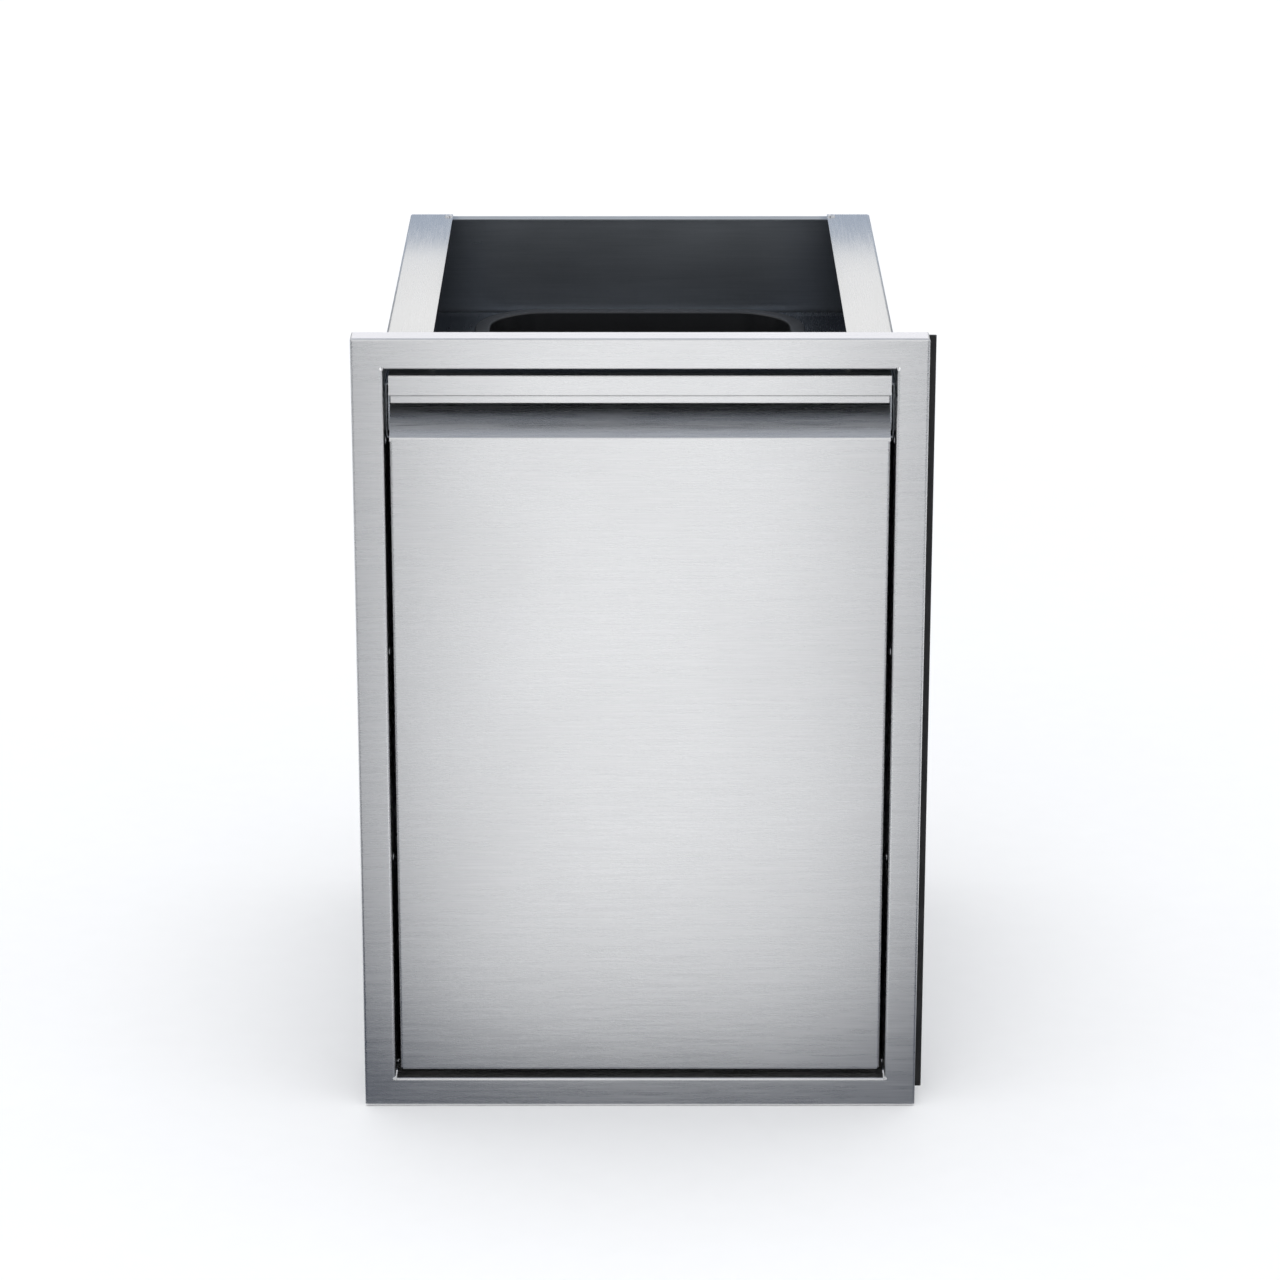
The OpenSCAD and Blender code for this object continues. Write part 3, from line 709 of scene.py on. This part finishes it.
def make_far_cards():
    """Upright cards round the object, which give its walls their soft dark and light."""
    front, side, back = -1.6, 2.0, 2.4
    for name, x0, x1 in (("left_flag", -1.1, -0.44), ("right_flag", 0.48, 1.1)):
        make_card(name, across_y(front, x0, x1, FLOOR_Z, CARD_TOP), BLACK_CARD)
    for name, x0, x1 in (("back_left_flag", -1.2, -0.42), ("back_right_flag", 0.42, 1.2)):
        make_card(name, across_y(back, x0, x1, FLOOR_Z, CARD_TOP), GREY_CARD)
    for name, x, y0, y1 in (
        ("left_side_fore_flag", -side, -0.9, -0.24), ("left_side_aft_flag", -side, 0.72, 1.4),
        ("right_side_fore_flag", side, -0.9, -0.24), ("right_side_aft_flag", side, 0.72, 1.4),
    ):
        make_card(name, across_x(x, y0, y1, FLOOR_Z, CARD_TOP), GREY_CARD)


def make_housing_cards():
    """Cards behind the housing, over its top and in its rear corners. The cards in the rear corners, over the
    opening and in the bin's mouth are painted shade, and the white card over the frame's top is a painted
    highlight.
    """
    inside = 0.166             # just short of the side walls' top flanges
    wall_in = 0.2035           # just short of the side walls
    outside = 0.30
    behind = 0.56
    rail_z = TOP_Z - 23 * MM   # the side walls' top flanges
    corner_z = rail_z - 3 * MM
    corner_foot = 0.50
    corner_y = 0.475
    for name, x0, x1, height in (
        ("left_rear_flag", -outside, -inside, 47 * MM),
        ("right_rear_flag", inside, outside, 47 * MM),
        ("rear_flag", -inside, inside, 19 * MM),
    ):
        make_card(name, across_y(behind, x0, x1, rail_z, rail_z + height), BLUE_CARD)
    # Painted shade in the rear corners of the housing.
    low_corner = across_y(corner_y, -wall_in, wall_in, corner_foot, corner_z)
    high_corner = across_y(corner_y, -inside, inside, corner_z, TOP_Z + 60 * MM)
    make_card("low_corner_painted_shade", low_corner, CORNER_SHADE_CARD, corner_shade)
    make_card("high_corner_painted_shade", high_corner, CORNER_SHADE_CARD, corner_shade)
    # Painted shade: a black card over the housing's opening, just below the side walls' top flanges, darkens
    # what the inside mirrors.
    lid_fore, lid_aft = 0.018, 0.375
    make_card("lid_painted_shade", level(rail_z - 2 * MM, inside, lid_fore, lid_aft), BLACK_CARD)
    # Painted highlight: a white card that glows just over the frame's top, seen only in reflections.
    frame_y, frame_half = 0.036, 0.24
    frame_top = across_y(frame_y, -frame_half, frame_half, TOP_Z + 1.5 * MM, TOP_Z + 70 * MM)
    make_card("frame_top_painted_highlight", frame_top, HIGHLIGHT_CARD)
    # Painted shade: a black card in the bin's mouth.
    low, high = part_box("bin")
    in_bin = 33 * MM           # from the outside of the rim to well inside its mouth
    mouth = level(high.z - 6 * MM, high.x - in_bin, low.y + in_bin, high.y - in_bin)
    make_card("bin_mouth_painted_shade", mouth, NO_LIGHT)


def make_grip_cards():
    """Painted shade: narrow level cards in the gap over the drawer front, under its lip and in its finger
    recess, black at the back of the recess and dim grey towards its front.
    """
    in_gap = 0.2025            # just short of the sides of the frame
    strip_low, strip_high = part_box("grip_strip")
    lip_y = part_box("front_panel")[0].y
    nose_z = strip_low.z
    lip_z = nose_z + 6.8 * MM
    recess_z = nose_z + 1 * MM
    gap_aft = 0.016
    recess_aft = 0.012
    for name, z, y0, y1, colour in (
        ("gap_painted_shade", strip_high.z + 5 * MM, FRONT_Y, gap_aft, NO_LIGHT),
        ("lip_painted_shade", lip_z - 0.2 * MM, lip_y - 1.5 * MM, lip_y + 1.15 * MM, NO_LIGHT),
        ("nose_painted_shade", nose_z - 0.2 * MM, lip_y - 0.6 * MM, lip_y + 3.6 * MM, NO_LIGHT),
        ("finger_fore_painted_shade", recess_z, lip_y + 3.6 * MM, lip_y + 8 * MM, FINGER_FORE_SHADE_CARD),
        ("finger_painted_shade", recess_z, lip_y + 8 * MM, lip_y + 12 * MM, FINGER_SHADE_CARD),
        ("finger_aft_painted_shade", recess_z, lip_y + 12 * MM, recess_aft, NO_LIGHT),
    ):
        make_card(name, level(z, in_gap, y0, y1), colour)


def make_key():
    """A large soft lamp in front, on the left. Nothing mirrors it, so it lights only what isn't metal."""
    place = Vector((-0.9, -3.2, 1.7))
    target = Vector((0, 0, 0.3))
    light = bpy.data.lights.new("key", "AREA")
    light.shape = "RECTANGLE"
    light.size, light.size_y = 1.6, 1.2
    light.energy = 14
    lamp = bpy.data.objects.new("key", light)
    SCENE.collection.objects.link(lamp)
    lamp.location = place
    lamp.rotation_euler = (target - place).to_track_quat("-Z", "Y").to_euler()
    lamp.visible_glossy = False


def make_floor_light(floor):
    """Light from straight above that falls on the floor only."""
    light = bpy.data.lights.new("floor_light", "SUN")
    light.energy = 1.0
    light.angle = math.radians(50)
    lamp = bpy.data.objects.new("floor_light", light)
    SCENE.collection.objects.link(lamp)
    receivers = bpy.data.collections.new("floor_light_receivers")
    receivers.objects.link(floor)
    lamp.light_linking.receiver_collection = receivers


# sine of the elevation, and the colour of the sky there
SKY = (
    (0.0, (0.97, 0.97, 0.97)),
    (0.40, (0.98, 0.98, 0.98)),
    (0.72, (0.84, 0.85, 0.87)),
    (0.92, (0.42, 0.45, 0.51)),
    (1.0, (0.36, 0.39, 0.46)),
)
SKY_STRENGTH = 1.06


def make_world():
    world = bpy.data.worlds.new("studio")
    SCENE.world = world
    world.use_nodes = True
    nodes, links = world.node_tree.nodes, world.node_tree.links
    coordinates = nodes.new("ShaderNodeTexCoord")
    split = nodes.new("ShaderNodeSeparateXYZ")
    ramp = nodes.new("ShaderNodeValToRGB")
    links.new(coordinates.outputs["Generated"], split.inputs["Vector"])
    links.new(split.outputs["Z"], ramp.inputs["Fac"])
    links.new(ramp.outputs["Color"], nodes["Background"].inputs["Color"])
    steps = ramp.color_ramp.elements
    steps.remove(steps[0])
    steps[0].position = SKY[0][0]
    steps[0].color = (*SKY[0][1], 1)
    for height, colour in SKY[1:]:
        steps.new(height).color = (*colour, 1)
    nodes["Background"].inputs["Strength"].default_value = SKY_STRENGTH


make_floor_light(make_floor())
make_floor_cards()
make_far_cards()
make_housing_cards()
make_grip_cards()
make_world()
make_key()
